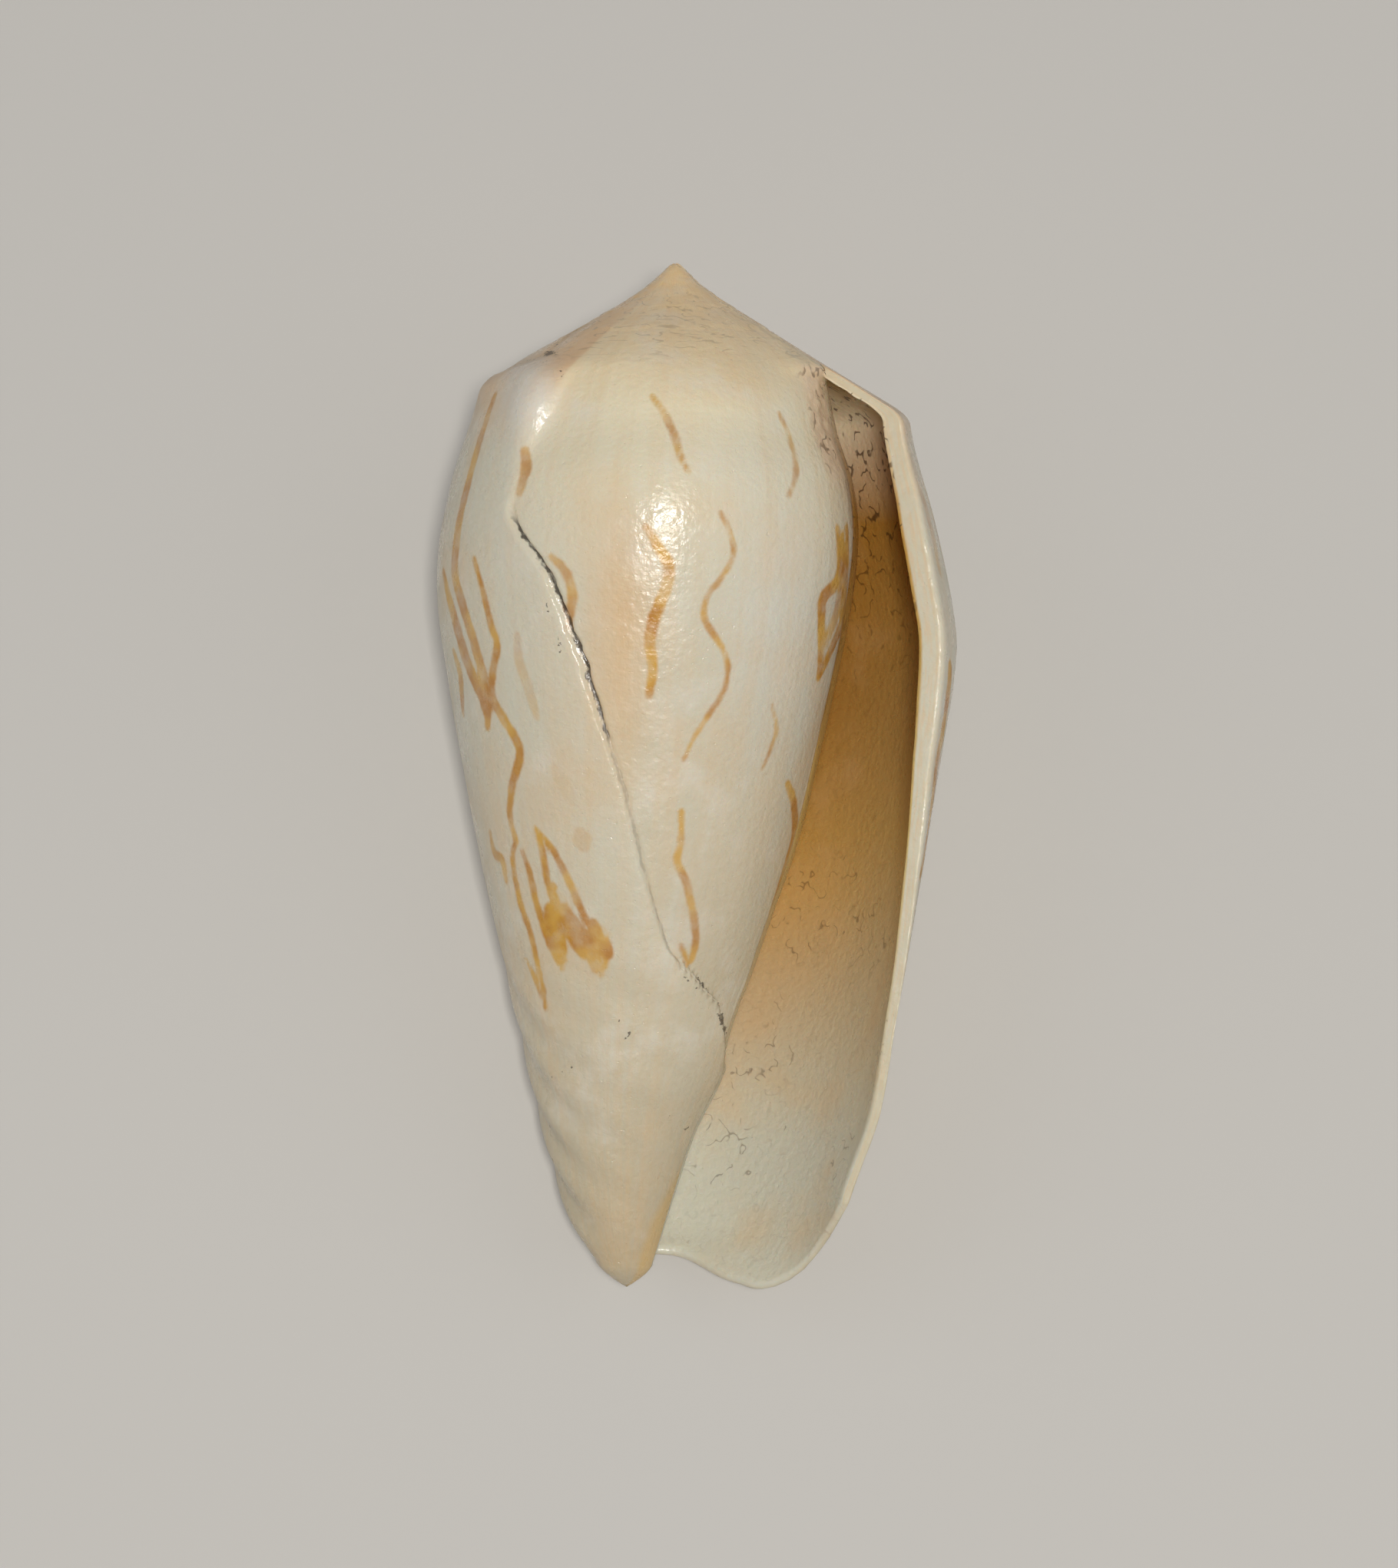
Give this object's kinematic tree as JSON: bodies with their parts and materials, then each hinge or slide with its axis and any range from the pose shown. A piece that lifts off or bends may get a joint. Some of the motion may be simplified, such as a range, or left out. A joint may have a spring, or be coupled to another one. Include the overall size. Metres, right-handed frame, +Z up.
{
  "type": "cone shell",
  "caption": "Beach-worn cone shell with a broken-back lip, lying on its back with its long opening up.",
  "frame": {"origin": "centre of the overall box at the surface the shell lies on", "axes": "+Z up, away from the surface; +Y along the shell towards its apex; +X towards the broken lip"},
  "size_m": [0.033, 0.0634, 0.0302],
  "materials": {
    "shell": "worn cream shell with ochre and orange-brown wavy marks, peach spire and orange-tan inside, soft gloss"
  },
  "bodies": {
    "root": {"shell": "shell"}
  },
  "joints": []
}
